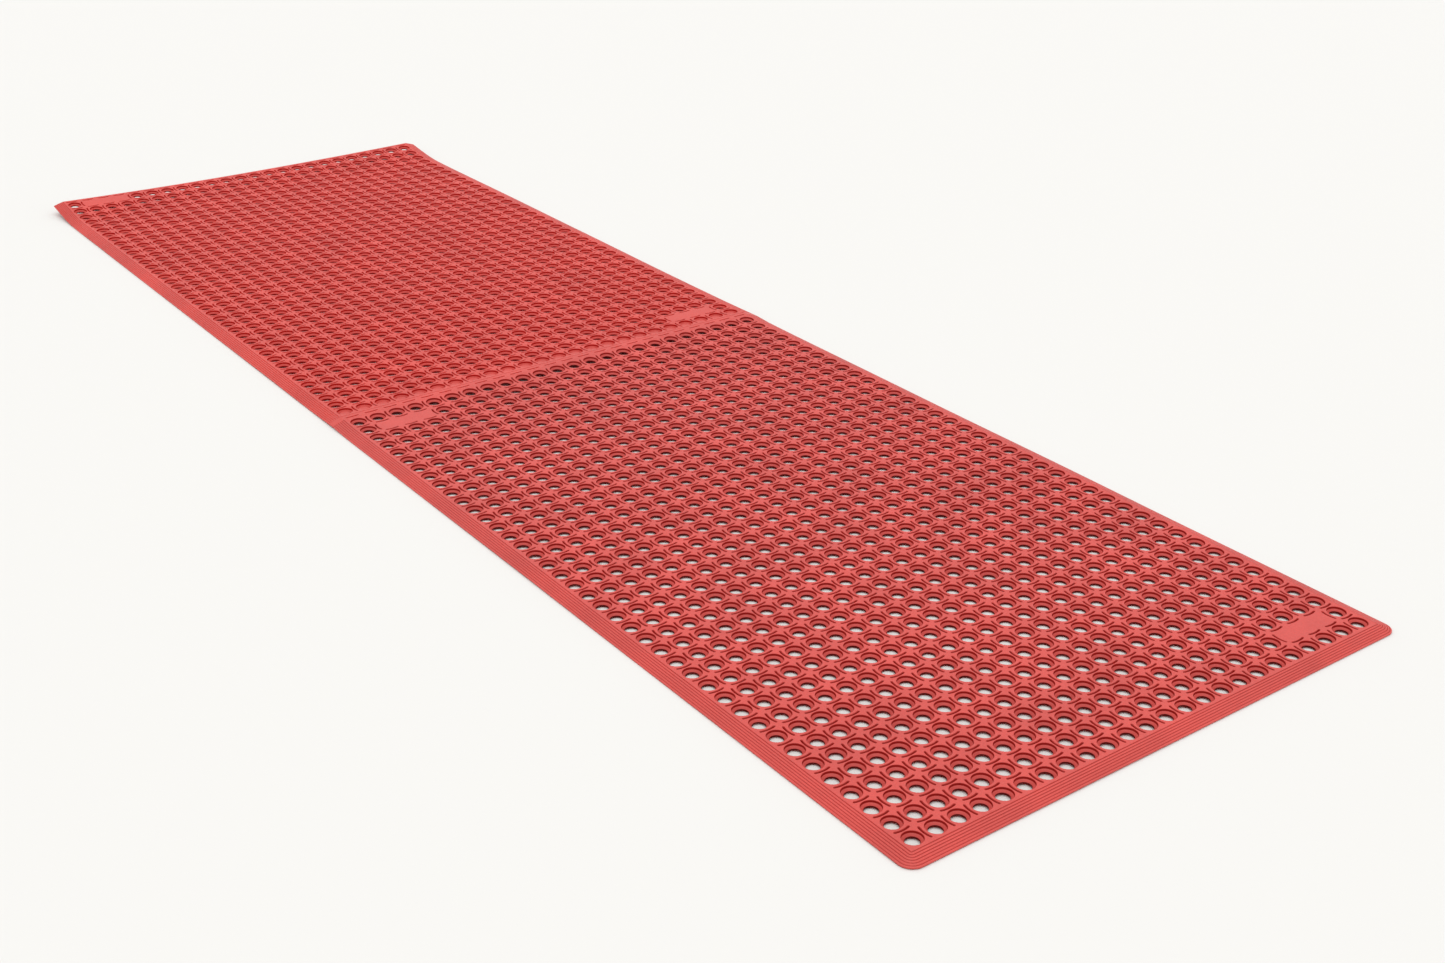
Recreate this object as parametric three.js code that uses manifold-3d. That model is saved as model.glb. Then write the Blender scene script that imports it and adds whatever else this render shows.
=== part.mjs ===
// Anti fatigue mat: two moulded rubber sheets laid end to end and buttoned together.
// Millimetres. X runs across the mat, Y along it from front to rear, Z up from the floor.
// The origin is on the floor, under the middle of the mat.
import * as THREE from 'three';
import { mergeVertices } from 'three/addons/utils/BufferGeometryUtils.js';
import Module from 'manifold-3d';

const wasm = await Module();
wasm.setup();

// Drainage cells, on a square grid
const pitch = 38.1;
const columns = 24;
const frontRows = 40;
const rearRows = 39;
const holeRadius = 9.9;

// Section of both sheets
const thickness = 9.5;
const rampWidth = 22;
const edgeHeight = 1.9;
const cornerSteps = 8;

// Button joint: the front sheet's tongue runs under the rear sheet and its studs
// stand in the rear sheet's first row of holes
const jointStrip = 18;
const tongueThickness = 3.2;
const tongueSideGap = 1;
const tongueEndGap = 0.6;
const studClearance = 0.6;
const studTop = 5.2;
const roundSides = 16;
const gap = 0.3;
const cutterOverrun = 40;

// Free rear end: an arc and then a straight tail, turned up off the floor
const rearBorder = 8;
const curlRadius = 490;
const curlArc = 84;
const curlTail = 66;
const curlSteps = 8;

// Look of the rubber
const frontRed = 0xd6605b;
const rearRed = 0xd96660;
const rubberRoughness = 0.75;

// Points closer than this are one point
const weldDistance = 1e-4;

// Lengths along the sheets
const fieldWidth = columns * pitch;
const frontLength = rampWidth + frontRows * pitch;
const rearFieldStart = frontLength + jointStrip;
const rearEnd = rearFieldStart + rearRows * pitch + rearBorder;
const curlStart = rearEnd - curlTail - curlArc;
const curlAngle = curlArc / curlRadius;
const totalLength = curlStart + curlRadius * Math.sin(curlAngle) + curlTail * Math.cos(curlAngle);

// A closed solid skinned over rings of points, with flat lids on the first and last ring.
// Each ring runs the same way round and has the same number of points.
function skin(rings, lidCorners) {
  const positions = rings.flat().flatMap((point) => [point.x, point.y, point.z]);
  const count = rings[0].length;
  const faces = [];
  for (let level = 0; level < rings.length - 1; level += 1) {
    for (let side = 0; side < count; side += 1) {
      const next = (side + 1) % count;
      const a = level * count + side;
      const b = level * count + next;
      const c = a + count;
      const d = b + count;
      faces.push([a, b, d], [a, d, c]);
    }
  }
  const lid = THREE.ShapeUtils.triangulateShape(lidCorners(rings[0]), []);
  for (const [a, b, c] of lid) {
    faces.push([c, b, a]);
  }
  const last = (rings.length - 1) * count;
  const lastLid = THREE.ShapeUtils.triangulateShape(lidCorners(rings[rings.length - 1]), []);
  for (const [a, b, c] of lastLid) {
    faces.push([last + a, last + b, last + c]);
  }
  const geometry = new THREE.BufferGeometry();
  geometry.setAttribute('position', new THREE.Float32BufferAttribute(positions, 3));
  geometry.setIndex(faces.flat());
  return geometry;
}

// Geometry to solid. Triangles that collapse to a line are dropped.
function toSolid(geometry) {
  geometry.deleteAttribute('normal');
  geometry.deleteAttribute('uv');
  const merged = mergeVertices(geometry, weldDistance);
  const index = merged.index.array;
  const triangles = [];
  for (let corner = 0; corner < index.length; corner += 3) {
    const [a, b, c] = index.slice(corner, corner + 3);
    if (a !== b && b !== c && c !== a) {
      triangles.push(a, b, c);
    }
  }
  const mesh = new wasm.Mesh({
    numProp: 3,
    vertProperties: new Float32Array(merged.attributes.position.array),
    triVerts: new Uint32Array(triangles),
  });
  return new wasm.Manifold(mesh);
}

function toGeometry(solid) {
  const mesh = solid.getMesh();
  const geometry = new THREE.BufferGeometry();
  geometry.setAttribute('position', new THREE.Float32BufferAttribute(mesh.vertProperties, 3));
  geometry.setIndex(Array.from(mesh.triVerts));
  geometry.computeVertexNormals();
  return geometry;
}

function boxSolid(width, from, to, low, high) {
  const box = new THREE.BoxGeometry(width, to - from, high - low);
  box.translate(0, (from + to) / 2, (low + high) / 2);
  return toSolid(box);
}

// One upright cylinder for each column, all in one row
function cylinderRow(radius, y, low, high) {
  let row = null;
  for (let column = 0; column < columns; column += 1) {
    const x = (column - (columns - 1) / 2) * pitch;
    const cylinder = new THREE.CylinderGeometry(radius, radius, high - low, roundSides);
    cylinder.rotateX(Math.PI / 2);
    cylinder.translate(x, y, (low + high) / 2);
    row = row ? row.add(toSolid(cylinder)) : toSolid(cylinder);
  }
  return row;
}

// Plan outline of the front sheet at a distance outside its field of cells: rounded at the
// two front corners, square at the joint
function frontOutline(offset, z) {
  const half = fieldWidth / 2;
  const points = [new THREE.Vector3(half + offset, frontLength, z)];
  points.push(new THREE.Vector3(-half - offset, frontLength, z));
  for (const [centre, start] of [[-half, Math.PI], [half, 1.5 * Math.PI]]) {
    for (let step = 0; step <= cornerSteps; step += 1) {
      const angle = start + (step / cornerSteps) * (Math.PI / 2);
      const x = centre + offset * Math.cos(angle);
      points.push(new THREE.Vector3(x, rampWidth + offset * Math.sin(angle), z));
    }
  }
  return points;
}

function frontSheet() {
  const rings = [
    frontOutline(rampWidth, 0),
    frontOutline(rampWidth, edgeHeight),
    frontOutline(0, thickness),
  ];
  const plan = (ring) => ring.map((point) => new THREE.Vector2(point.x, point.y));
  const sheet = toSolid(skin(rings, plan));
  const tongueEnd = rearFieldStart + pitch;
  const tongueWidth = fieldWidth - 2 * tongueSideGap;
  const tongue = boxSolid(tongueWidth, frontLength - rampWidth, tongueEnd, 0, tongueThickness);
  const studRadius = holeRadius - studClearance;
  const studs = cylinderRow(studRadius, rearFieldStart + pitch / 2, 0, studTop);
  return sheet.add(tongue).add(studs);
}

// Cross-section of the rear sheet at a distance along it, carried up the curl at its end
function rearSection(along) {
  const past = Math.max(0, along - curlStart);
  const onArc = Math.min(past, curlArc);
  const angle = onArc / curlRadius;
  const tail = past - onArc;
  const footY = Math.min(along, curlStart) + curlRadius * Math.sin(angle) + tail * Math.cos(angle);
  const footZ = curlRadius * (1 - Math.cos(angle)) + tail * Math.sin(angle);
  const half = fieldWidth / 2;
  const outer = half + rampWidth;
  const profile = [
    [-outer, 0],
    [outer, 0],
    [outer, edgeHeight],
    [half, thickness],
    [-half, thickness],
    [-outer, edgeHeight],
  ];
  return profile.map(([x, height]) => {
    return new THREE.Vector3(x, footY - height * Math.sin(angle), footZ + height * Math.cos(angle));
  });
}

function rearSheet() {
  const start = frontLength + gap;
  const rings = [rearSection(start)];
  for (let step = 0; step <= curlSteps; step += 1) {
    rings.push(rearSection(curlStart + (step / curlSteps) * curlArc));
  }
  rings.push(rearSection(rearEnd));
  const section = (ring) => ring.map((point) => new THREE.Vector2(point.x, point.z));
  const sheet = toSolid(skin(rings.reverse(), section));
  const pocketEnd = rearFieldStart + pitch + tongueEndGap;
  const pocketTop = tongueThickness + gap;
  const pocketStart = frontLength - cutterOverrun;
  const pocket = boxSolid(fieldWidth, pocketStart, pocketEnd, -cutterOverrun, pocketTop);
  const socketTop = thickness + cutterOverrun;
  const sockets = cylinderRow(holeRadius, rearFieldStart + pitch / 2, 0, socketTop);
  return sheet.subtract(pocket).subtract(sockets);
}

function rubber(color) {
  return new THREE.MeshStandardMaterial({ color, roughness: rubberRoughness, metalness: 0 });
}

const mat = new THREE.Group();
const sheets = [
  ['front_mat', frontSheet(), rubber(frontRed)],
  ['rear_mat', rearSheet(), rubber(rearRed)],
];
for (const [name, solid, material] of sheets) {
  const mesh = new THREE.Mesh(toGeometry(solid), material);
  mesh.name = name;
  mesh.position.y = -totalLength / 2;
  mat.add(mesh);
}

export default mat;
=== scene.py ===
import math

import bpy
import numpy as np
from mathutils import Matrix, Vector
from mathutils.geometry import delaunay_2d_cdt


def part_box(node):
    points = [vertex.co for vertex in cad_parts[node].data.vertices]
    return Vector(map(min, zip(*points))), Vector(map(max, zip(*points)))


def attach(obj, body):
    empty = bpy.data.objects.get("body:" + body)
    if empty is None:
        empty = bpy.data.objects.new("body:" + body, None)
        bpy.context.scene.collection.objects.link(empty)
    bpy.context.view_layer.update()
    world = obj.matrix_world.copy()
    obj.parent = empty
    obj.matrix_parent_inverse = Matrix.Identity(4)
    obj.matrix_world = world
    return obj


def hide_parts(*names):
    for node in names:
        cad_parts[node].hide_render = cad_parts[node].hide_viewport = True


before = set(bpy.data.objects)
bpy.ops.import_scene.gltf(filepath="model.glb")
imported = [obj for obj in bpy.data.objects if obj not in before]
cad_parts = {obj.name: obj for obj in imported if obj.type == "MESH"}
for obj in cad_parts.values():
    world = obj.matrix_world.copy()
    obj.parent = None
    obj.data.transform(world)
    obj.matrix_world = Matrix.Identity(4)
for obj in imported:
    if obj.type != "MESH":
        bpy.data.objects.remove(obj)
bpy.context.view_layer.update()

front_low, front_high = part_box("front_mat")
rear_low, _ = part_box("rear_mat")

MM = 0.001

# ---------------------------------------------------------------------------
# Driving dimensions
# ---------------------------------------------------------------------------

# Plan of both sheets
COLUMNS = 24
FRONT_ROWS = 40
REAR_ROWS = 39
RAMP_WIDTH = 22 * MM
REAR_BORDER = 8 * MM
half_outer = front_high.x
half_field = half_outer - RAMP_WIDTH
pitch = 2 * half_field / COLUMNS
thickness = front_high.z
front_field = front_low.y + RAMP_WIDTH
front_end = front_field + FRONT_ROWS * pitch
rear_start = rear_low.y
rear_field = front_high.y - pitch
rear_end = rear_field + REAR_ROWS * pitch + REAR_BORDER

# One drainage cell: a counterbore, a ledge and a through hole
ROUND_SIDES = 24
RIM_RADIUS = 0.4 * pitch
RIM_ROUND = 0.7 * MM
RIM_STEPS = 3
BORE_DRAFT = 0.3 * MM
LEDGE_DEPTH = 3.7 * MM
LEDGE_FILLET = 0.4 * MM
LEDGE_FALL = 1.9 * MM
HOLE_RADIUS = 9.9 * MM
HOLE_BEVEL = 0.3 * MM

# Curved slots on the lines between neighbouring cells
SLOT_LENGTH = 0.6 * pitch
SLOT_WIDTH = 3.4 * MM
SLOT_FLOOR = 1.8 * MM
SLOT_BULGE = 0.045 * pitch
SLOT_DEPTH = 2.5 * MM
SLOT_BEVEL = 0.35 * MM
SLOT_STEPS = 6
SLOT_END_STEPS = 4

hole_top = thickness - LEDGE_DEPTH - LEDGE_FALL

# Tile borders run halfway between a slot and the rim of the hole before it
slot_reach = SLOT_BULGE / 2 + SLOT_WIDTH / 2 + SLOT_BEVEL
tile_shift = (pitch / 2 - RIM_RADIUS + slot_reach) / 2

# Underside: a shallow drainage recess with a round foot between every four holes
RELIEF_DEPTH = 1.2 * MM
RELIEF_MARGIN = 2 * MM
FOOT_RADIUS = 6 * MM
FOOT_SIDES = 10
FOOT_SHIFT = 0.2 * pitch

# Ramp: a border groove beside the field, then as many evenly spaced grooves as RIBS
EDGE_HEIGHT = 1.9 * MM
RAMP_CROWN = 0.25 * MM
RIBS = 5
RIB_START = 3.75 * MM
RIB_GROOVE = 1.5 * MM
RIB_DEPTH = 0.9 * MM
BORDER_GROOVE = 1.5 * MM
BORDER_DEPTH = 1.3 * MM
CORNER_STEPS = 14

# Button joint
TONGUE_THICKNESS = 3.2 * MM
TONGUE_SIDE_GAP = 1 * MM
TONGUE_END_GAP = 0.6 * MM
POCKET_TOP = 3.5 * MM
STUD_CLEARANCE = 0.6 * MM
STUD_TOP = 5.2 * MM
STUD_BEVEL = 0.6 * MM
STRIP_SLOT_LENGTH = 0.6 * pitch
STRIP_SLOT_OFFSET = 0.175 * pitch
STRIP_SLOT_BULGE = SLOT_BULGE / 3

# Rear end, turned up off the floor
CURL_RADIUS = 490 * MM
CURL_ARC = 84 * MM
CURL_TAIL = 66 * MM
CURL_LEFT = 0.95
CURL_MIDDLE = 0.48
CURL_RIGHT = 0.8
curl_start = rear_end - CURL_TAIL - CURL_ARC

# Ripples: a ridge along the seam, and low waves as (size, turns per metre along X, turns
# per metre along Y, phase)
RIDGE_HEIGHT = 4 * MM
RIDGE_FRONT = 1.4 * pitch
RIDGE_REAR = 3.2 * pitch
RIDGE_POWER = 1.3
RIDGE_SIDES = 0.55
WAVES = (
    (0.6 * MM, 0.35, 1.15, 0.4),
    (0.4 * MM, -0.6, 2.1, 2.0),
    (0.2 * MM, 1.7, 0.8, 4.1),
)

# Blank label pads, three cells wide: one row in from each end of a sheet, except that the
# pad at the turned-up end is in the last row
PAD_COLUMNS_FRONT = (20, 21, 22)
PAD_COLUMNS_REAR = (1, 2, 3)

# Points closer than this are one point; edges sharper than this angle stay crisp
WELD_GRID = 0.7e-6
SHARP_ANGLE = 38


# ---------------------------------------------------------------------------
# Mesh pieces: a part is (points, quads, triangles) as arrays
# ---------------------------------------------------------------------------

def part(points, quads=(), triangles=()):
    return (
        np.asarray(points, float).reshape(-1, 3),
        np.asarray(quads, int).reshape(-1, 4),
        np.asarray(triangles, int).reshape(-1, 3),
    )


def join(parts):
    points, quads, triangles = [], [], []
    count = 0
    for p, q, t in parts:
        points.append(p)
        quads.append(q + count)
        triangles.append(t + count)
        count += len(p)
    return np.concatenate(points), np.concatenate(quads), np.concatenate(triangles)


def stamp(shape, offsets):
    """The same part repeated at each offset."""
    points, quads, triangles = shape
    offsets = np.asarray(offsets, float).reshape(-1, 3)
    count = len(points)
    steps = np.arange(len(offsets)) * count
    return (
        (points[None] + offsets[:, None]).reshape(-1, 3),
        (quads[None] + steps[:, None, None]).reshape(-1, 4),
        (triangles[None] + steps[:, None, None]).reshape(-1, 3),
    )


def at_height(loop, z):
    loop = np.asarray(loop, float)
    return np.column_stack([loop, np.full(len(loop), z)])


def band(first, second, closed=True):
    """Quads between two lines of points. The face looks along (run) x (first to second)."""
    count = len(first)
    a = np.arange(count if closed else count - 1)
    b = (a + 1) % count
    quads = np.column_stack([a, b, b + count, a + count])
    return part(np.concatenate([first, second]), quads)


def inside(loop, points):
    """Which points lie inside a closed outline, by crossing count."""
    x, y = points[:, 0], points[:, 1]
    result = np.zeros(len(points), bool)
    for (x1, y1), (x2, y2) in zip(loop, np.roll(loop, -1, axis=0)):
        if y1 == y2:
            continue
        crosses = (y1 > y) != (y2 > y)
        result ^= crosses & (x < x1 + (y - y1) * (x2 - x1) / (y2 - y1))
    return result


# The plate cutter works in millimetres and fills the whole hull with triangles
HULL_TRIANGLES = 0
CUT_TOLERANCE = 1e-5


def plate(outline, cuts=(), up=True):
    """Flat face inside an outline with the cuts left out, as 2-D points and triangles."""
    loops = [np.asarray(loop, float) for loop in [outline, *cuts]]
    points = np.concatenate(loops)
    edges = []
    start = 0
    for loop in loops:
        count = len(loop)
        edges += [(start + k, start + (k + 1) % count) for k in range(count)]
        start += count
    _, _, faces, origins, _, _ = delaunay_2d_cdt(
        [Vector(p / MM) for p in points], edges, [], HULL_TRIANGLES, CUT_TOLERANCE
    )
    source = np.array([ids[0] for ids in origins])
    triangles = source[np.array([list(f) for f in faces])]
    middles = points[triangles].mean(axis=1)
    keep = inside(loops[0], middles)
    for loop in loops[1:]:
        keep &= ~inside(loop, middles)
    triangles = triangles[keep]
    a, b, c = (points[triangles[:, k]] for k in range(3))
    anticlockwise = np.cross(b - a, c - a).sum() > 0
    if anticlockwise != up:
        triangles = triangles[:, ::-1]
    return points, triangles


def flat(outline, z, cuts=(), up=True):
    points, triangles = plate(outline, cuts, up)
    return part(at_height(points, z), triangles=triangles)


def circle(radius, sides, centre=(0, 0)):
    angle = np.arange(sides) / sides * 2 * math.pi
    return np.column_stack([
        centre[0] + radius * np.cos(angle),
        centre[1] + radius * np.sin(angle),
    ])


def rectangle(x0, x1, y0, y1):
    return np.array([(x0, y0), (x1, y0), (x1, y1), (x0, y1)])


def slot_outline(middle, length, width, bulge):
    """Curved slot that runs along X and bulges towards -Y, with round ends."""
    radius = (length * length / 4 + bulge * bulge) / (2 * bulge)
    reach = math.asin(length / 2 / radius)
    centre = middle[1] + radius - bulge / 2
    half = width / 2
    along = np.linspace(-reach, reach, SLOT_STEPS + 1)
    turn = np.arange(1, SLOT_END_STEPS) / SLOT_END_STEPS * math.pi

    def side(distance, angles):
        return np.column_stack([distance * np.sin(angles), -distance * np.cos(angles)])

    def round_end(end, start):
        tip = side(radius, np.array([end]))
        return tip + half * np.column_stack([np.cos(start + turn), np.sin(start + turn)])

    points = np.concatenate([
        side(radius + half, along),
        round_end(reach, reach - math.pi / 2),
        side(radius - half, along[::-1]),
        round_end(-reach, -reach + math.pi / 2),
    ])
    return points + np.array([middle[0], centre])


def swap_axes(loop):
    """Mirrors an outline in the diagonal and keeps it running anticlockwise."""
    return loop[::-1, ::-1].copy()


def row_slot(width, offset=-pitch / 2):
    return slot_outline((0, offset), SLOT_LENGTH, width, SLOT_BULGE)


def far_row_slot(width):
    return row_slot(width, pitch / 2)


def column_slot(width):
    return swap_axes(row_slot(width))


def slot_recess(outline_of):
    """Bevelled rim, walls and floor of a slot."""
    rim = outline_of(SLOT_WIDTH + 2 * SLOT_BEVEL)
    wall = outline_of(SLOT_WIDTH)
    floor = outline_of(SLOT_FLOOR)
    return join([
        band(at_height(rim, thickness), at_height(wall, thickness - SLOT_BEVEL)),
        band(at_height(wall, thickness - SLOT_BEVEL), at_height(floor, thickness - SLOT_DEPTH)),
        flat(floor, thickness - SLOT_DEPTH),
    ])


def bore(bottom):
    """Counterbore with a rounded rim, sloping ledge and through hole down to a height."""
    wall = RIM_RADIUS - RIM_ROUND
    foot = wall - BORE_DRAFT
    ledge = thickness - LEDGE_DEPTH
    levels = []
    for step in range(RIM_STEPS + 1):
        angle = step / RIM_STEPS * math.pi / 2
        levels.append((
            RIM_RADIUS - RIM_ROUND * math.sin(angle),
            thickness - RIM_ROUND * (1 - math.cos(angle)),
        ))
    levels.append((foot, ledge + LEDGE_FILLET))
    levels.append((foot - LEDGE_FILLET, ledge))
    levels.append((HOLE_RADIUS + HOLE_BEVEL, hole_top))
    levels.append((HOLE_RADIUS, hole_top - HOLE_BEVEL))
    levels.append((HOLE_RADIUS, bottom))
    rings = [at_height(circle(radius, ROUND_SIDES), z) for radius, z in levels]
    return join([band(a, b) for a, b in zip(rings, rings[1:])])


# ---------------------------------------------------------------------------
# Field of cells
# ---------------------------------------------------------------------------

def tile_edges(start, count, end, shift):
    """Borders of a line of tiles. Inner borders are shifted off the cell borders."""
    inner = [start + k * pitch - shift for k in range(1, count)]
    return np.array([start, *inner, end])


def cell_centres(start, count):
    return start + (np.arange(count) + 0.5) * pitch


def tile_outline(x_edges, y_edges, xs, ys, column, row):
    """Outline of a tile about the middle of its cell."""
    return rectangle(
        x_edges[column] - xs[column],
        x_edges[column + 1] - xs[column],
        y_edges[row] - ys[row],
        y_edges[row + 1] - ys[row],
    )


def field_top(y_start, rows, y_end, pads, rear_slots=False):
    """Top skin of a field: plates, bores and slots."""
    x_edges = tile_edges(-half_field, COLUMNS, half_field, tile_shift)
    y_edges = tile_edges(y_start, rows, y_end, tile_shift)
    xs = cell_centres(-half_field, COLUMNS)
    ys = cell_centres(y_start, rows)
    groups = {}
    for row in range(rows):
        for column in range(COLUMNS):
            blank = (column, row) in pads
            joined = blank and (column - 1, row) in pads
            far_slot = rear_slots and row == rows - 1
            key = (
                column == 0,
                column == COLUMNS - 1,
                row == 0,
                row == rows - 1,
                blank,
                column > 0 and not joined,
                row > 0,
                far_slot,
            )
            groups.setdefault(key, []).append((column, row))
    parts = []
    for key, cells in groups.items():
        blank, left_slot, near_slot, far_slot = key[4:]
        outline = tile_outline(x_edges, y_edges, xs, ys, *cells[0])
        rim = SLOT_WIDTH + 2 * SLOT_BEVEL
        cuts = []
        details = []
        if not blank:
            cuts.append(circle(RIM_RADIUS, ROUND_SIDES))
        if left_slot:
            cuts.append(column_slot(rim))
            details.append(slot_recess(column_slot))
        if near_slot:
            cuts.append(row_slot(rim))
            details.append(slot_recess(row_slot))
        if far_slot:
            cuts.append(far_row_slot(rim))
            details.append(slot_recess(far_row_slot))
        tile = join([flat(outline, thickness, cuts), *details])
        parts.append(stamp(tile, [(xs[c], ys[r], 0) for c, r in cells]))
    return join(parts), x_edges, y_edges


def bores(y_start, rows, pads, bottom_of):
    """Holes of a field. bottom_of gives the height of the underside at a row."""
    xs = cell_centres(-half_field, COLUMNS)
    ys = cell_centres(y_start, rows)
    parts = []
    for bottom in sorted({bottom_of(row) for row in range(rows)}):
        cells = [
            (xs[column], ys[row], 0)
            for row in range(rows)
            for column in range(COLUMNS)
            if bottom_of(row) == bottom and (column, row) not in pads
        ]
        parts.append(stamp(bore(bottom), cells))
    return join(parts)


def relief(y_start, first_row, rows, low, high, pads):
    """Drainage recess of the underside, between low and high along Y.

    Returns the recess and its outline.
    """
    left = -half_field + RELIEF_MARGIN
    right = half_field - RELIEF_MARGIN
    x_edges = tile_edges(-half_field, COLUMNS, half_field, FOOT_SHIFT)
    x_edges[0] = left
    x_edges[-1] = right
    first = y_start + first_row * pitch
    y_edges = tile_edges(first, rows - first_row, high, FOOT_SHIFT)
    y_edges[0] = low
    xs = cell_centres(-half_field, COLUMNS)
    ys = cell_centres(first, rows - first_row)
    groups = {}
    for row in range(len(ys)):
        for column in range(COLUMNS):
            key = (
                column == 0,
                column == COLUMNS - 1,
                row == 0,
                row == len(ys) - 1,
                (column, row + first_row) in pads,
            )
            groups.setdefault(key, []).append((column, row))
    foot = circle(FOOT_RADIUS, FOOT_SIDES, (-pitch / 2, -pitch / 2))
    parts = []
    for key, cells in groups.items():
        column, row = cells[0]
        outline = tile_outline(x_edges, y_edges, xs, ys, column, row)
        cuts = []
        details = []
        blank = key[-1]
        if not blank:
            cuts.append(circle(HOLE_RADIUS, ROUND_SIDES))
        if column > 0 and row > 0:
            cuts.append(foot)
            details.append(band(at_height(foot, 0), at_height(foot, RELIEF_DEPTH)))
            details.append(flat(foot, 0, up=False))
        tile = join([flat(outline, RELIEF_DEPTH, cuts, up=False), *details])
        parts.append(stamp(tile, [(xs[c], ys[r], 0) for c, r in cells]))
    border = [(x, low) for x in x_edges]
    border += [(right, y) for y in y_edges[1:]]
    border += [(x, high) for x in x_edges[::-1][1:]]
    border += [(left, y) for y in y_edges[::-1][1:-1]]
    border = np.array(border)
    parts.append(band(at_height(border, RELIEF_DEPTH), at_height(border, 0)))
    return join(parts), border


# ---------------------------------------------------------------------------
# Ramp
# ---------------------------------------------------------------------------

def ramp_height(distance):
    share = distance / RAMP_WIDTH
    return thickness + (EDGE_HEIGHT - thickness) * share + 4 * RAMP_CROWN * share * (1 - share)


def ramp_profile(ribbed=1.0):
    """Top of the ramp as (distance out, height): border groove, ribs, edge and foot."""
    points = [(0, thickness)]
    points.append((BORDER_GROOVE / 2, thickness - BORDER_DEPTH * ribbed))
    points.append((BORDER_GROOVE, ramp_height(BORDER_GROOVE)))
    rib = (RAMP_WIDTH - RIB_START) / RIBS
    for number in range(RIBS):
        start = RIB_START + number * rib
        for distance, depth in ((0, 0), (RIB_GROOVE / 2, RIB_DEPTH), (RIB_GROOVE, 0)):
            out = start + distance
            points.append((out, ramp_height(out) - depth * ribbed))
    points.append((RAMP_WIDTH, EDGE_HEIGHT))
    points.append((RAMP_WIDTH, 0))
    return np.array(points)


def ramp_line(base, outward, profile):
    """Profile points standing outward from a point of the border."""
    return np.column_stack([
        base[0] + outward[0] * profile[:, 0],
        base[1] + outward[1] * profile[:, 0],
        profile[:, 1],
    ])


def ramp_skin(lines):
    """Skin over a row of profile lines that run anticlockwise round the sheet."""
    return join([band(a, b, closed=False) for a, b in zip(lines, lines[1:])])


def side_lines(side, stations, ribbed_at):
    """Profile lines of a straight side ramp; side is -1 on the left and 1 on the right."""
    return [
        ramp_line((side * half_field, y), (side, 0), ramp_profile(ribbed_at(y)))
        for y in stations
    ]


def section_outline(x_edges, ribbed, bottom):
    """Outline of the cross-section of a sheet, anticlockwise seen from the front."""
    profile = ramp_profile(ribbed)
    right = [(half_field + d, z) for d, z in profile[::-1]]
    top = [(x, thickness) for x in x_edges[::-1][1:-1]]
    left = [(-half_field - d, z) for d, z in profile]
    return np.array([*right, *top, *left, *bottom])


def end_face(outline, y, forward):
    """Upright face across the sheet; forward is True where it looks towards +Y."""
    points, triangles = plate(outline, up=not forward)
    upright = np.column_stack([points[:, 0], np.full(len(points), y), points[:, 1]])
    return part(upright, triangles=triangles)


# ---------------------------------------------------------------------------
# The two sheets, flat
# ---------------------------------------------------------------------------

def front_pads():
    return {(c, 1) for c in PAD_COLUMNS_FRONT} | {(c, FRONT_ROWS - 2) for c in PAD_COLUMNS_REAR}


def rear_pads():
    return {(c, 1) for c in PAD_COLUMNS_FRONT} | {(c, REAR_ROWS - 1) for c in PAD_COLUMNS_REAR}


def corner_lines(centre, start, steps):
    """Profile lines that turn a quarter circle about an inner corner of the field."""
    lines = []
    for step in range(1, steps):
        angle = start + step / steps * math.pi / 2
        lines.append(ramp_line(centre, (math.cos(angle), math.sin(angle)), ramp_profile()))
    return lines


def build_front():
    pads = front_pads()
    top, x_edges, y_edges = field_top(front_field, FRONT_ROWS, front_end, pads)
    holes = bores(front_field, FRONT_ROWS, pads, lambda row: RELIEF_DEPTH)
    low = front_field + RELIEF_MARGIN
    high = front_end - RELIEF_MARGIN
    under, border = relief(front_field, 0, FRONT_ROWS, low, high, pads)

    lines = side_lines(-1, y_edges[::-1], lambda y: 1)
    lines += corner_lines((-half_field, front_field), math.pi, CORNER_STEPS)
    lines += [ramp_line((x, front_field), (0, -1), ramp_profile()) for x in x_edges]
    lines += corner_lines((half_field, front_field), 1.5 * math.pi, CORNER_STEPS)
    lines += side_lines(1, y_edges, lambda y: 1)

    half_tongue = half_field - TONGUE_SIDE_GAP
    tongue_end = front_high.y
    step = [
        (-half_tongue, 0),
        (-half_tongue, TONGUE_THICKNESS),
        (half_tongue, TONGUE_THICKNESS),
        (half_tongue, 0),
    ]
    seam_face = end_face(section_outline(x_edges, 1, step), front_end, forward=True)

    stud_y = rear_field + pitch / 2
    xs = cell_centres(-half_field, COLUMNS)
    radius = HOLE_RADIUS - STUD_CLEARANCE
    tongue = np.array([
        (half_tongue, front_end),
        (half_tongue, tongue_end),
        (-half_tongue, tongue_end),
        (-half_tongue, front_end),
    ])
    circles = [circle(radius, ROUND_SIDES, (x, stud_y)) for x in xs]
    levels = [
        (radius, TONGUE_THICKNESS),
        (radius, STUD_TOP - STUD_BEVEL),
        (radius - STUD_BEVEL, STUD_TOP),
    ]
    rings = [at_height(circle(r, ROUND_SIDES), z) for r, z in levels]
    stud = join([
        band(rings[0], rings[1]),
        band(rings[1], rings[2]),
        flat(circle(radius - STUD_BEVEL, ROUND_SIDES), STUD_TOP),
    ])

    outer = np.array([line[-1][:2] for line in lines])
    floor_outline = np.concatenate([outer, tongue])
    return join([
        top,
        holes,
        under,
        ramp_skin(lines),
        seam_face,
        flat(tongue, TONGUE_THICKNESS, circles),
        band(at_height(tongue, 0), at_height(tongue, TONGUE_THICKNESS), closed=False),
        stamp(stud, [(x, stud_y, 0) for x in xs]),
        flat(floor_outline, 0, [border], up=False),
    ])


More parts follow.
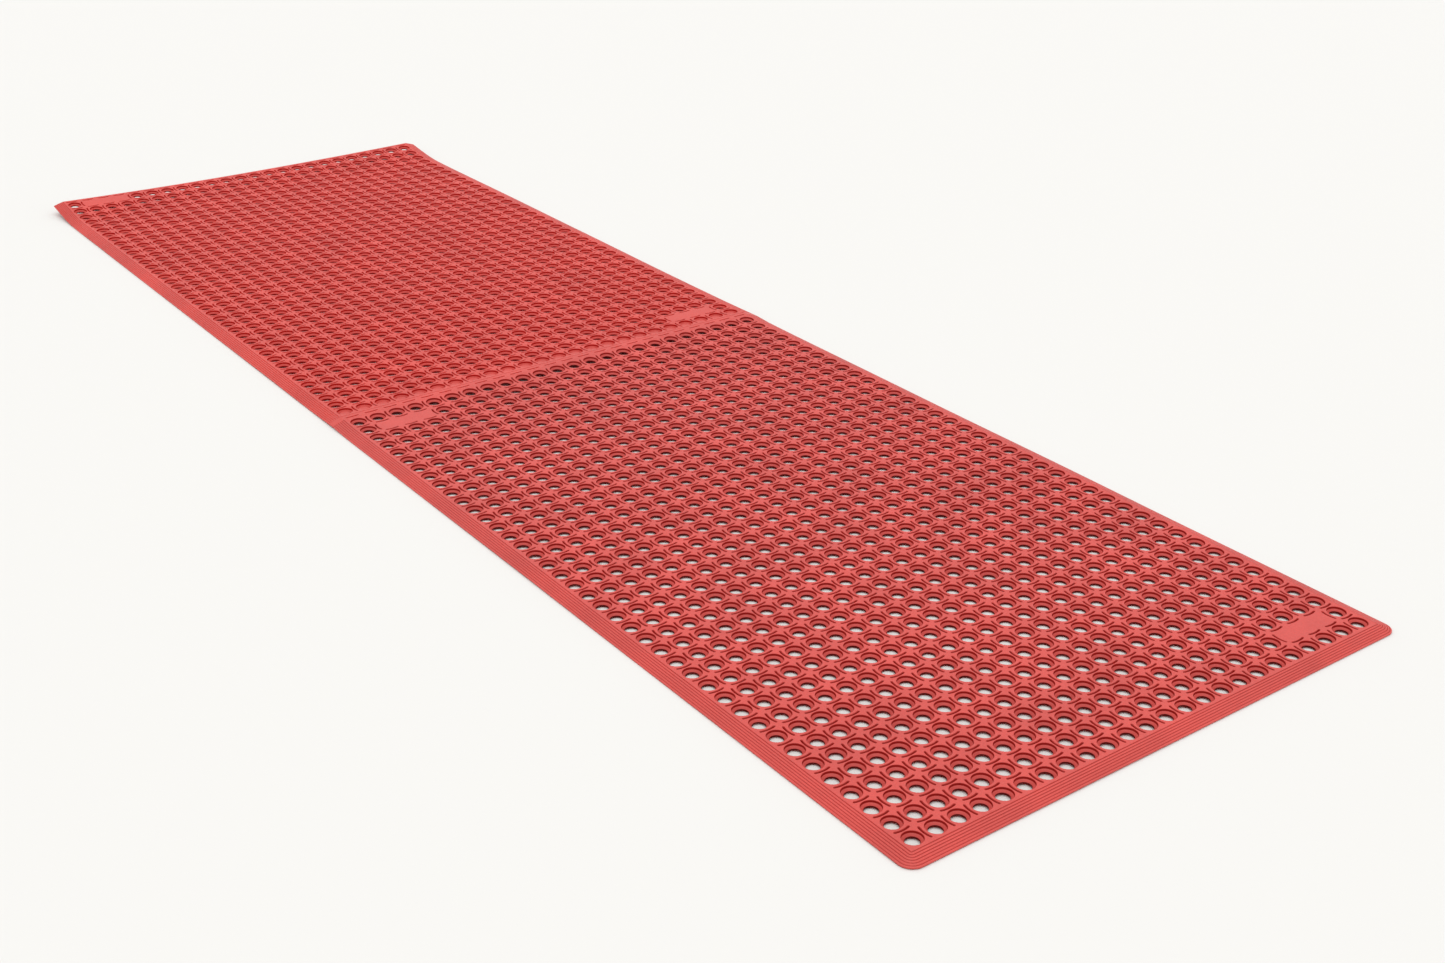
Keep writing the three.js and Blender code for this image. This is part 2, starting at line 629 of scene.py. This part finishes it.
def build_rear():
    pads = rear_pads()
    top, x_edges, y_edges = field_top(
        rear_field, REAR_ROWS, rear_end, pads, rear_slots=True
    )
    pocket_end = front_high.y + TONGUE_END_GAP
    holes = bores(rear_field, REAR_ROWS, pads, lambda row: RELIEF_DEPTH if row else POCKET_TOP)
    low = pocket_end + RELIEF_MARGIN
    high = rear_end - RELIEF_MARGIN
    under, border = relief(rear_field, 1, REAR_ROWS, low, high, pads)

    # Joint strip, with one short slot for each column, and the groove behind it
    groove_start = rear_field - BORDER_GROOVE
    xs = cell_centres(-half_field, COLUMNS)
    strip = []
    slot_y = front_end + STRIP_SLOT_OFFSET

    def strip_slot(width):
        return slot_outline((0, slot_y), STRIP_SLOT_LENGTH, width, STRIP_SLOT_BULGE)

    for column in range(COLUMNS):
        outline = rectangle(
            x_edges[column] - xs[column],
            x_edges[column + 1] - xs[column],
            rear_start,
            groove_start,
        )
        tile = join([
            flat(outline, thickness, [strip_slot(SLOT_WIDTH + 2 * SLOT_BEVEL)]),
            slot_recess(strip_slot),
        ])
        strip.append(stamp(tile, [(xs[column], 0, 0)]))
    groove = (
        (groove_start, 0),
        (rear_field - BORDER_GROOVE / 2, BORDER_DEPTH),
        (rear_field, 0),
    )
    rows = [
        at_height(np.column_stack([x_edges, np.full(len(x_edges), y)]), thickness - depth)
        for y, depth in groove
    ]
    strip.append(band(rows[0], rows[1], closed=False))
    strip.append(band(rows[1], rows[2], closed=False))
    for end, order in ((0, (0, 1, 2)), (-1, (2, 1, 0))):
        strip.append(part([rows[k][end] for k in order], triangles=[(0, 1, 2)]))

    def ribbed_at(y):
        return 0 if y <= groove_start + WELD_GRID else 1

    stations = np.array([rear_start, groove_start, *y_edges])
    left = side_lines(-1, stations[::-1], ribbed_at)
    right = side_lines(1, stations, ribbed_at)

    step = [
        (-half_field, 0),
        (-half_field, POCKET_TOP),
        (half_field, POCKET_TOP),
        (half_field, 0),
    ]
    start_face = end_face(section_outline(x_edges, 0, step), rear_start, forward=False)
    floor_points = [(x, 0) for x in x_edges[1:-1]]
    rear_face = end_face(section_outline(x_edges, 1, floor_points), rear_end, forward=True)

    sockets = [circle(HOLE_RADIUS, ROUND_SIDES, (x, rear_field + pitch / 2)) for x in xs]
    ceiling = rectangle(-half_field, half_field, rear_start, pocket_end)
    walls = np.array([
        (half_field, rear_start),
        (half_field, pocket_end),
        (-half_field, pocket_end),
        (-half_field, rear_start),
    ])
    left_outer = [line[-1][:2] for line in left]
    right_outer = [line[-1][:2] for line in right]
    rear_edge = [(x, rear_end) for x in x_edges[::-1][1:-1]]
    floor_outline = np.array([*left_outer, *walls[::-1], *right_outer, *rear_edge])
    return join([
        top,
        holes,
        under,
        *strip,
        ramp_skin(left),
        ramp_skin(right),
        start_face,
        rear_face,
        flat(ceiling, POCKET_TOP, sockets, up=False),
        band(at_height(walls, POCKET_TOP), at_height(walls, 0), closed=False),
        flat(floor_outline, 0, [border], up=False),
    ])


# ---------------------------------------------------------------------------
# Lie of the sheets
# ---------------------------------------------------------------------------

def curl_share(x):
    """How much of the curl there is across the sheet: most of it at the two corners."""
    across = x / half_outer
    corner = np.where(across < 0, CURL_LEFT, CURL_RIGHT)
    return CURL_MIDDLE + (corner - CURL_MIDDLE) * across ** 2


def ripple(x, y):
    """Height of the gentle waves of the rubber above the floor."""
    before = 1 - (front_end - y) / RIDGE_FRONT
    behind = 1 - (y - front_end) / RIDGE_REAR
    near_seam = np.clip(np.minimum(before, behind), 0, 1) ** RIDGE_POWER
    across = RIDGE_SIDES + (1 - RIDGE_SIDES) * np.cos(x / half_outer * math.pi / 2)
    height = RIDGE_HEIGHT * near_seam * across
    for size, x_turns, y_turns, phase in WAVES:
        turn = 2 * math.pi * (x_turns * x + y_turns * y) + phase
        height = height + size * (1 + np.sin(turn)) / 2
    return height


def lay_down(points):
    """Carries the flat sheet over its ripples and up the curl at the rear end."""
    x, along, height = points.T
    radius = CURL_RADIUS / curl_share(x)
    past = np.maximum(0, along - curl_start)
    on_arc = np.minimum(past, CURL_ARC)
    angle = on_arc / radius
    tail = past - on_arc
    foot_y = np.minimum(along, curl_start) + radius * np.sin(angle) + tail * np.cos(angle)
    foot_z = radius * (1 - np.cos(angle)) + tail * np.sin(angle)
    calm = np.clip(1 - past / CURL_ARC, 0, 1)
    return np.column_stack([
        x,
        foot_y - height * np.sin(angle),
        foot_z + height * np.cos(angle) + ripple(x, along) * calm,
    ])


# ---------------------------------------------------------------------------
# Sheet objects
# ---------------------------------------------------------------------------

# Painted shade: a value of each point that darkens the rubber in recesses and most in holes,
# where shade falls
OPEN = 0
RECESSED = 1
IN_HOLE = 2
SOLE_SHADE = 0.5
HOLE_FOOT_SHADE = 1.5
LEDGE_INNER_SHADE = 0.35
LEDGE_OUTER_SHADE = 0.1
SLOT_EDGE_SHADE = 0.5
GROOVE_SHADE = 0.7


def weld(shape):
    """Joins points that meet and turns quads with a repeated corner into triangles."""
    points, quads, triangles = shape
    keys = np.round(points / WELD_GRID).astype(np.int64)
    _, first, index = np.unique(keys, axis=0, return_index=True, return_inverse=True)
    index = index.reshape(-1)
    points = points[first]
    quads = index[quads]
    triangles = index[triangles]
    same = quads == np.roll(quads, -1, axis=1)
    collapsed = same.any(axis=1)
    extra = [
        [corner for corner, twin in zip(quad, marks) if not twin]
        for quad, marks in zip(quads[collapsed], same[collapsed])
    ]
    extra = np.array([e for e in extra if len(e) == 3], int).reshape(-1, 3)
    triangles = np.concatenate([triangles, extra])
    real = (triangles != np.roll(triangles, -1, axis=1)).all(axis=1)
    return points, quads[~collapsed], triangles[real]


def painted_shade(points, holes_end):
    """How much painted shade each point of the flat sheet gets, from its height and its place.

    The sheet has no holes past holes_end, so nothing there gets painted shade.
    """
    x, y, height = points.T
    ledge = thickness - LEDGE_DEPTH
    # Painted shade by height in the field: darkest on the hole walls, little on the ledge, full
    # on the bore and slot walls, none on top
    steps = (
        (0, SOLE_SHADE),
        (RELIEF_DEPTH, HOLE_FOOT_SHADE),
        (hole_top - HOLE_BEVEL, IN_HOLE),
        (hole_top, LEDGE_INNER_SHADE),
        (ledge, LEDGE_OUTER_SHADE),
        (ledge + LEDGE_FILLET, RECESSED),
        (thickness - RIM_ROUND, RECESSED),
        (thickness - SLOT_BEVEL, SLOT_EDGE_SHADE),
        (thickness, OPEN),
    )
    heights, values = zip(*steps)
    in_field = np.interp(height, heights, values)
    outside = np.hypot(np.maximum(abs(x) - half_field, 0), np.maximum(front_field - y, 0))
    # Painted shade in the ramp grooves and down the outer edge of the ramp
    in_groove = GROOVE_SHADE * np.clip((ramp_height(outside) - height) / RIB_DEPTH, 0, 1)
    on_ramp = np.where(height > 0, in_groove, OPEN)
    share = np.where(outside < WELD_GRID, in_field, on_ramp)
    return np.where(y > holes_end + WELD_GRID, OPEN, share)


def make_sheet(name, shape, material, holes_end):
    points, quads, triangles = weld(shape)
    mesh = bpy.data.meshes.new(name)
    corners = np.concatenate([quads.ravel(), triangles.ravel()])
    starts = np.concatenate([
        np.arange(len(quads)) * 4,
        len(quads) * 4 + np.arange(len(triangles)) * 3,
    ])
    mesh.vertices.add(len(points))
    mesh.vertices.foreach_set("co", lay_down(points).astype(np.float32).ravel())
    mesh.loops.add(len(corners))
    mesh.loops.foreach_set("vertex_index", corners.astype(np.int32))
    mesh.polygons.add(len(starts))
    mesh.polygons.foreach_set("loop_start", starts.astype(np.int32))
    mesh.update(calc_edges=True)
    mesh.shade_smooth()
    mesh.set_sharp_from_angle(angle=math.radians(SHARP_ANGLE))
    # Painted shade value of each point, which the rubber material turns into a darker colour
    shade_attribute = mesh.attributes.new("painted_shade", "FLOAT", "POINT")
    shade_attribute.data.foreach_set("value", painted_shade(points, holes_end).astype(np.float32))
    mesh.materials.append(material)
    item = bpy.data.objects.new(name, mesh)
    bpy.context.scene.collection.objects.link(item)
    return item


# ---------------------------------------------------------------------------
# Rubber
# ---------------------------------------------------------------------------

# Colours: open rubber, and painted shade for the recesses and for the walls of the drainage
# holes
FRONT_RED = (0.525, 0.05, 0.039)
FRONT_RECESS_SHADE = (0.26, 0.009, 0.007)
FRONT_HOLE_SHADE = (0.05, 0.003, 0.003)
REAR_RED = (0.535, 0.041, 0.029)
REAR_RECESS_SHADE = (0.37, 0.008, 0.006)
REAR_HOLE_SHADE = (0.22, 0.007, 0.006)

# Noises as (scale, detail): broad clouds, fine speckle, roughness and grain
CLOUDS = (9, 3)
CLOUD_RANGE = (0.3, 0.72)
CLOUD_TINT = 0.1
SPECKLES = (520, 3)
SPECKLE_RANGE = (0.3, 0.7)
SPECKLE_TINT = 0.1
SHINES = (140, 4)
ROUGHNESS_RANGE = (0.42, 0.6)
GRAINS = (1400, 3)
GRAIN_STRENGTH = 0.25
GRAIN_HEIGHT = 0.2 * MM
# Specular of open rubber, and the lower specular that goes with full painted shade
OPEN_SPECULAR = 0.5
SHADED_SPECULAR = 0.06

# Faces that look down more than this are the underside and keep the open colour
UNDERSIDE_NORMAL = -0.7

# Sockets of a colour Mix node
MIX_FACTOR = 0
MIX_FIRST = 6
MIX_SECOND = 7
MIX_RESULT = 2


def rubber_material(name, colour, recess_shade_colour, hole_shade_colour):
    material = bpy.data.materials.new(name)
    material.use_nodes = True
    nodes = material.node_tree.nodes
    links = material.node_tree.links
    shader = nodes["Principled BSDF"]
    place = nodes.new("ShaderNodeTexCoord")

    def feed(socket, source):
        """Links a socket to another socket, or sets it to a number or a colour."""
        if isinstance(source, bpy.types.NodeSocket):
            links.new(source, socket)
        elif isinstance(source, tuple):
            socket.default_value = (*source, 1)
        else:
            socket.default_value = source

    def noise(settings):
        node = nodes.new("ShaderNodeTexNoise")
        scale, detail = settings
        feed(node.inputs["Scale"], scale)
        feed(node.inputs["Detail"], detail)
        feed(node.inputs["Vector"], place.outputs["Object"])
        return node.outputs["Fac"]

    def map_range(value, to_range, from_range=(0, 1)):
        node = nodes.new("ShaderNodeMapRange")
        for label, limits in (("From", from_range), ("To", to_range)):
            feed(node.inputs[label + " Min"], limits[0])
            feed(node.inputs[label + " Max"], limits[1])
        feed(node.inputs["Value"], value)
        return node.outputs["Result"]

    def calculate(operation, first, second, clamp=False):
        node = nodes.new("ShaderNodeMath")
        node.operation = operation
        node.use_clamp = clamp
        feed(node.inputs[0], first)
        feed(node.inputs[1], second)
        return node.outputs[0]

    def mix(factor, first, second, blend="MIX"):
        node = nodes.new("ShaderNodeMix")
        node.data_type = "RGBA"
        node.blend_type = blend
        feed(node.inputs[MIX_FACTOR], factor)
        feed(node.inputs[MIX_FIRST], first)
        feed(node.inputs[MIX_SECOND], second)
        return node.outputs[MIX_RESULT]

    # Open rubber: broad clouds of tint with a fine speckle
    ramp = nodes.new("ShaderNodeValToRGB")
    ends = zip(ramp.color_ramp.elements, CLOUD_RANGE, (1 - CLOUD_TINT, 1 + CLOUD_TINT))
    for element, position, tint in ends:
        element.position = position
        element.color = (*[c * tint for c in colour], 1)
    feed(ramp.inputs["Fac"], noise(CLOUDS))
    speckle = map_range(noise(SPECKLES), (1 - SPECKLE_TINT, 1 + SPECKLE_TINT), SPECKLE_RANGE)
    open_rubber = mix(1, ramp.outputs["Color"], speckle, "MULTIPLY")

    # Painted shade on recesses and hole walls from the sheet's painted shade value, with less
    # specular there, but not on the underside
    shade_attribute = nodes.new("ShaderNodeAttribute")
    shade_attribute.attribute_name = "painted_shade"
    facing = nodes.new("ShaderNodeSeparateXYZ")
    feed(facing.inputs["Vector"], place.outputs["Normal"])
    not_underside = calculate("GREATER_THAN", facing.outputs["Z"], UNDERSIDE_NORMAL)
    recess = calculate("MULTIPLY", shade_attribute.outputs["Fac"], not_underside)
    hole_shade_share = calculate("SUBTRACT", recess, RECESSED, clamp=True)
    recess_shaded_rubber = mix(recess, open_rubber, recess_shade_colour)
    feed(shader.inputs["Base Color"], mix(hole_shade_share, recess_shaded_rubber, hole_shade_colour))
    gloss = map_range(recess, (OPEN_SPECULAR, SHADED_SPECULAR))
    feed(shader.inputs["Specular IOR Level"], gloss)
    feed(shader.inputs["Roughness"], map_range(noise(SHINES), ROUGHNESS_RANGE))

    bump = nodes.new("ShaderNodeBump")
    feed(bump.inputs["Strength"], GRAIN_STRENGTH)
    feed(bump.inputs["Distance"], GRAIN_HEIGHT)
    feed(bump.inputs["Height"], noise(GRAINS))
    feed(shader.inputs["Normal"], bump.outputs["Normal"])
    return material


front_rubber = rubber_material("front_rubber", FRONT_RED, FRONT_RECESS_SHADE, FRONT_HOLE_SHADE)
rear_rubber = rubber_material("rear_rubber", REAR_RED, REAR_RECESS_SHADE, REAR_HOLE_SHADE)

front_piece = make_sheet("front_sheet", build_front(), front_rubber, front_end)
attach(front_piece, "front_mat")
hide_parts("front_mat")

rear_piece = make_sheet("rear_sheet", build_rear(), rear_rubber, rear_end)
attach(rear_piece, "rear_mat")
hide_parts("rear_mat")

# ---------------------------------------------------------------------------
# Stage, lights and camera
# ---------------------------------------------------------------------------

# Camera: place, heading clockwise from +Y, tilt and roll in degrees, lens and sensor in
# millimetres
CAMERA_PLACE = (-1.6912, -2.7688, 1.3673)
CAMERA_HEADING = 36.818
CAMERA_TILT = 26.326
CAMERA_ROLL = 0.675
CAMERA_LENS = 45.18
CAMERA_SENSOR = 36

# Light: spread in degrees, strength and direction of the key, strength of the white sky
KEY_SPREAD = 70
KEY_STRENGTH = 1.0
KEY_AIM = (0.1, 0.12, -1)
SKY_STRENGTH = 1.08

# Floor: one plain pale colour, and wide enough to keep its corners out of view
FLOOR_GAP = 0.2 * MM
FLOOR_SIZE = 400
FLOOR_COLOUR = (0.68, 0.672, 0.65)
FLOOR_ROUGHNESS = 0.9


def make_floor():
    bpy.ops.mesh.primitive_plane_add(size=FLOOR_SIZE, location=(0, 0, -FLOOR_GAP))
    floor = bpy.context.object
    floor.name = "floor"
    material = bpy.data.materials.new("pale_floor")
    material.use_nodes = True
    surface = material.node_tree.nodes["Principled BSDF"]
    surface.inputs["Base Color"].default_value = (*FLOOR_COLOUR, 1)
    surface.inputs["Roughness"].default_value = FLOOR_ROUGHNESS
    floor.data.materials.append(material)


def make_key():
    """A broad overhead softbox, so wide and far off that the whole mat is lit evenly."""
    data = bpy.data.lights.new("key", "SUN")
    data.angle = math.radians(KEY_SPREAD)
    data.energy = KEY_STRENGTH
    light = bpy.data.objects.new("key", data)
    light.rotation_euler = Vector(KEY_AIM).to_track_quat("-Z", "Y").to_euler()
    bpy.context.scene.collection.objects.link(light)


def make_world():
    world = bpy.data.worlds.new("studio")
    world.use_nodes = True
    background = world.node_tree.nodes["Background"]
    background.inputs["Color"].default_value = (1, 1, 1, 1)
    background.inputs["Strength"].default_value = SKY_STRENGTH
    bpy.context.scene.world = world


def make_camera():
    """Stands at the left of the front end and looks down along the mat."""
    data = bpy.data.cameras.new("camera")
    data.sensor_width = CAMERA_SENSOR
    data.lens = CAMERA_LENS
    camera = bpy.data.objects.new("camera", data)
    angles = (CAMERA_HEADING, CAMERA_TILT, CAMERA_ROLL)
    heading, tilt, roll = (math.radians(angle) for angle in angles)
    turn = Matrix.Rotation(-heading, 4, "Z") @ Matrix.Rotation(math.pi / 2 - tilt, 4, "X")
    turn = turn @ Matrix.Rotation(roll, 4, "Z")
    camera.matrix_world = Matrix.Translation(CAMERA_PLACE) @ turn
    bpy.context.scene.collection.objects.link(camera)
    bpy.context.scene.camera = camera


make_floor()
make_world()
make_key()
make_camera()
bpy.context.scene.view_settings.view_transform = "Standard"
